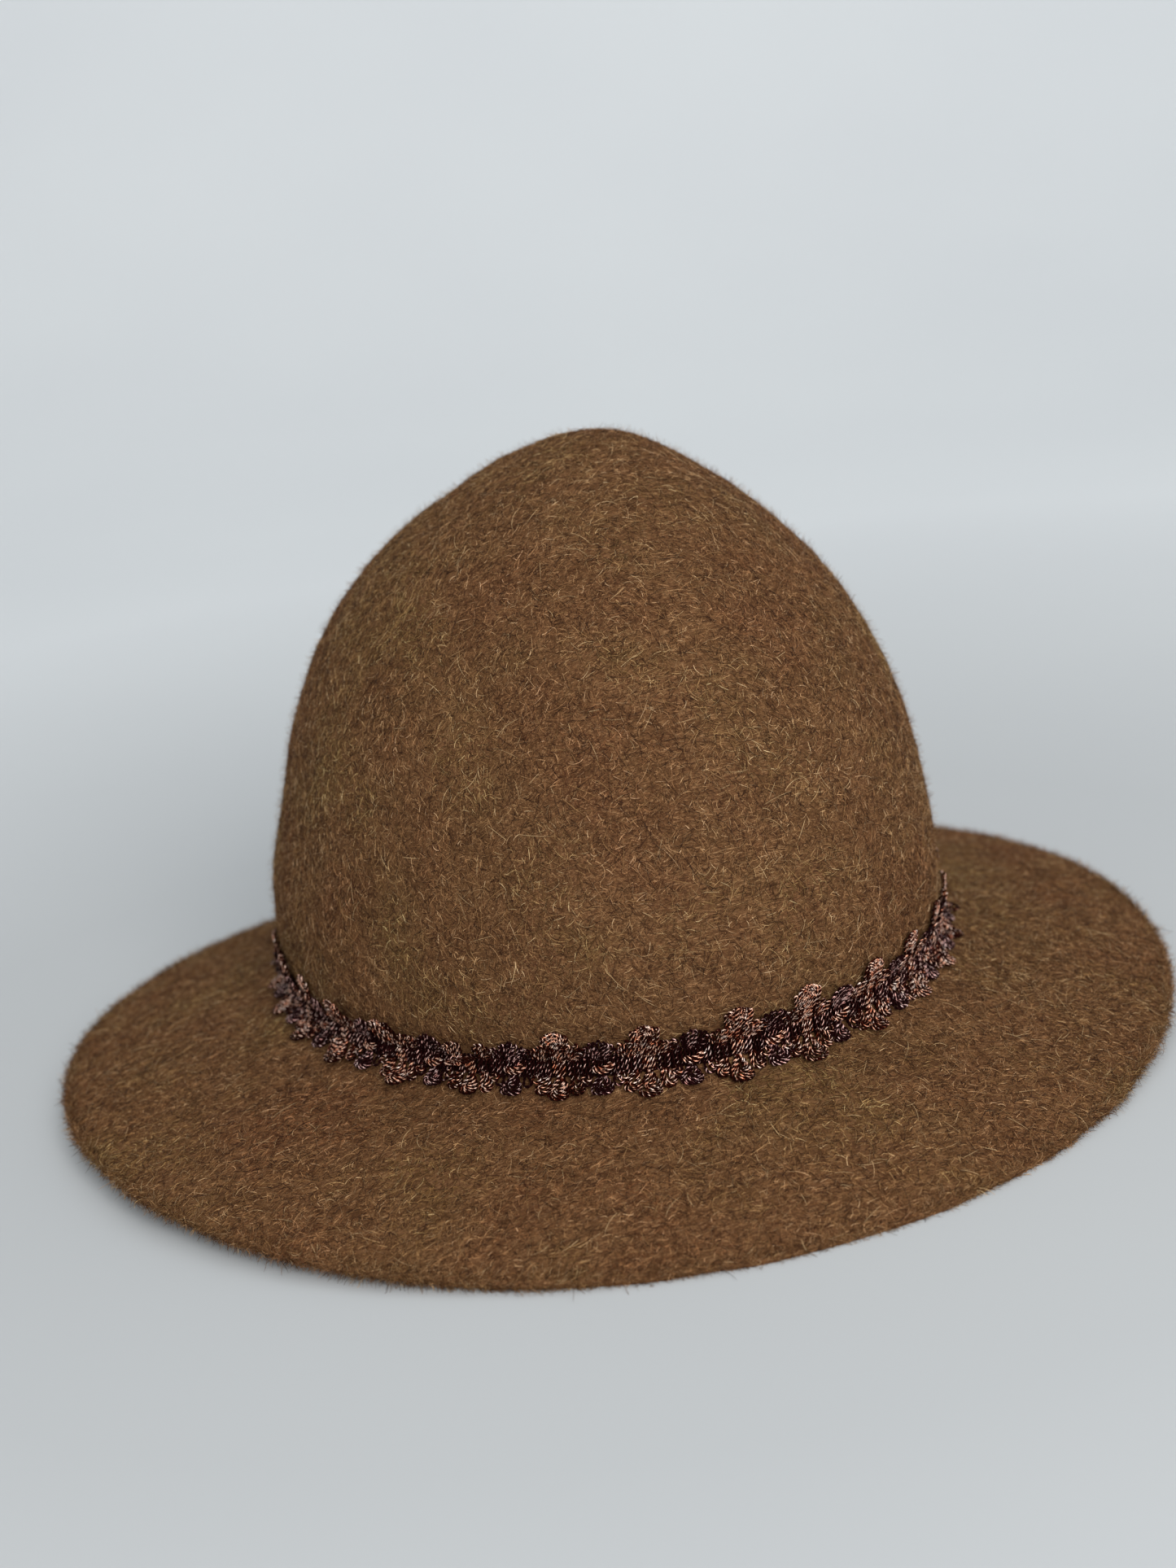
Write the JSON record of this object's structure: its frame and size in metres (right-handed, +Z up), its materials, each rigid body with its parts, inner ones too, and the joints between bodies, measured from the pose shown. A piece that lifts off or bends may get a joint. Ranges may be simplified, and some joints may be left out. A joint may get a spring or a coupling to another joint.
{
  "type": "felt hat",
  "caption": "Tall-crowned felt hat with a soft pointed tip, a wide down-turned raw-edge brim, a flower gimp braid at the headline, a leather sweatband and a lining.",
  "frame": {"origin": "centre of the brim's outline, on the plane the hat rests on", "axes": "+Z up through the crown, -Y towards the front of the hat, +X to the wearer's left side"},
  "size_m": [0.2938, 0.314, 0.1598],
  "materials": {
    "wool_felt": "brushed nap, matt",
    "gimp_core": "matt yarn",
    "bronze_yarn": "twisted yarn with a slight metallic glint",
    "plum_yarn": "twisted yarn, slight sheen",
    "join_patch": "plain woven tape",
    "sweatband_leather": "semi-matt grain",
    "reed": "matt",
    "reed_tape": "woven tape",
    "sewing_thread": "waxed thread",
    "bow_ribbon": "grosgrain",
    "satin_lining": "satin"
  },
  "bodies": {
    "root": {"felt_body": "wool_felt", "braid_foundation": "gimp_core", "braid_join_patch": "join_patch", "braid_bronze_motifs": "bronze_yarn", "braid_plum_motifs": "plum_yarn", "sweatband_leather": "sweatband_leather", "sweatband_reed": "reed", "sweatband_reed_tape": "reed_tape", "sweatband_stitches": "sewing_thread", "sweatband_bow_ribbon": "bow_ribbon", "sweatband_bow_knot": "bow_ribbon", "lining_side": "satin_lining", "lining_tip": "satin_lining", "lining_seam_thread": "sewing_thread"}
  },
  "joints": []
}
